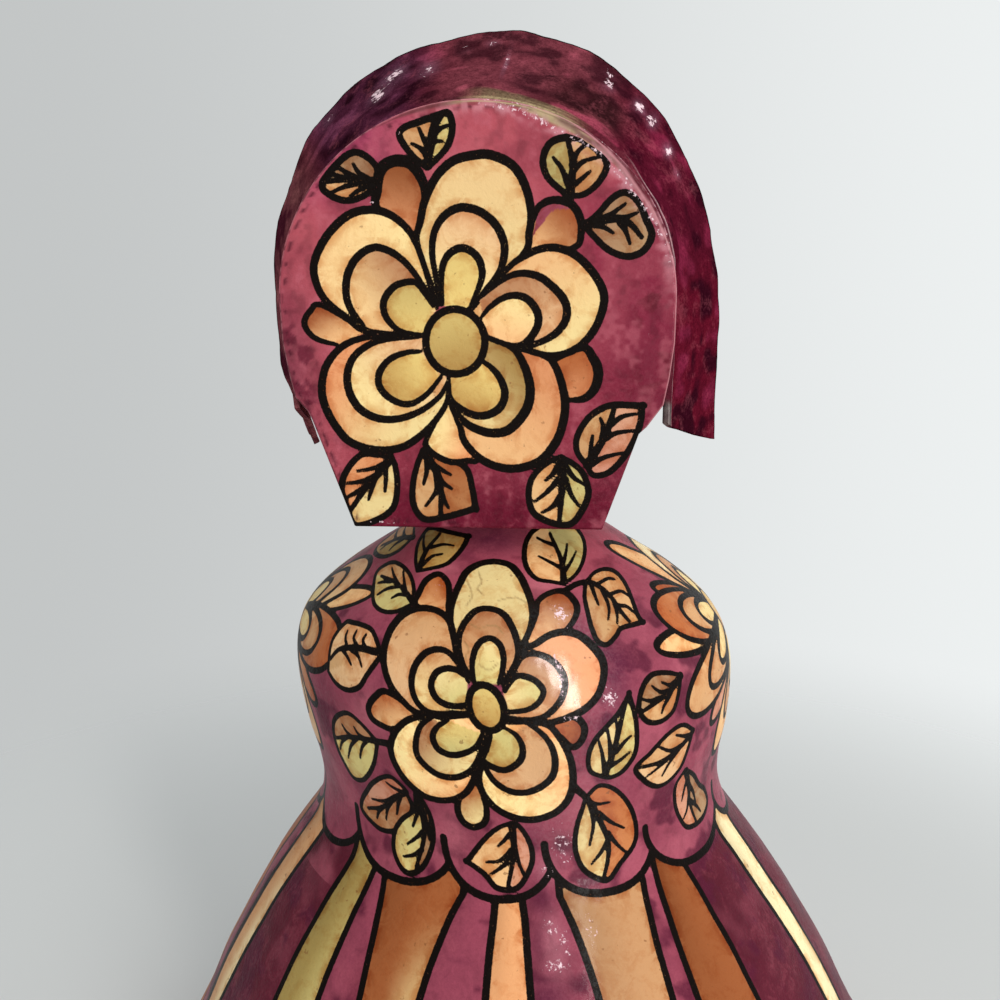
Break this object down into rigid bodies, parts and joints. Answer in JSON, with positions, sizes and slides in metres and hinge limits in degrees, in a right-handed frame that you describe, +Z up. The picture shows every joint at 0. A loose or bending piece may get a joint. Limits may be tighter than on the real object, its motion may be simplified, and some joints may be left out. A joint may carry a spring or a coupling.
{
  "type": "papier-mache figure",
  "caption": "Painted papier-mache lady in a poke bonnet, with a short cape and a bell-shaped skirt, standing on a flat underside.",
  "frame": {"origin": "middle of the flat underside, on the surface the figure stands on", "axes": "+Z up, the face looks along -Y, the bonnet's flat back panel faces +Y, +X towards the figure's left"},
  "size_m": [0.287, 0.2756, 0.4034],
  "materials": {
    "dress_paint": "hand-painted and varnished papier-mache: magenta ground, ochre and cream flowers, dark ink outlines",
    "brim_paint": "crumpled papered card, mottled dark magenta wash under varnish",
    "panel_paint": "papered card, magenta wash with one large ochre flower in dark ink, varnished"
  },
  "bodies": {
    "root": {"figure": "dress_paint", "bonnet_brim": "brim_paint", "bonnet_back": "panel_paint"}
  },
  "joints": []
}
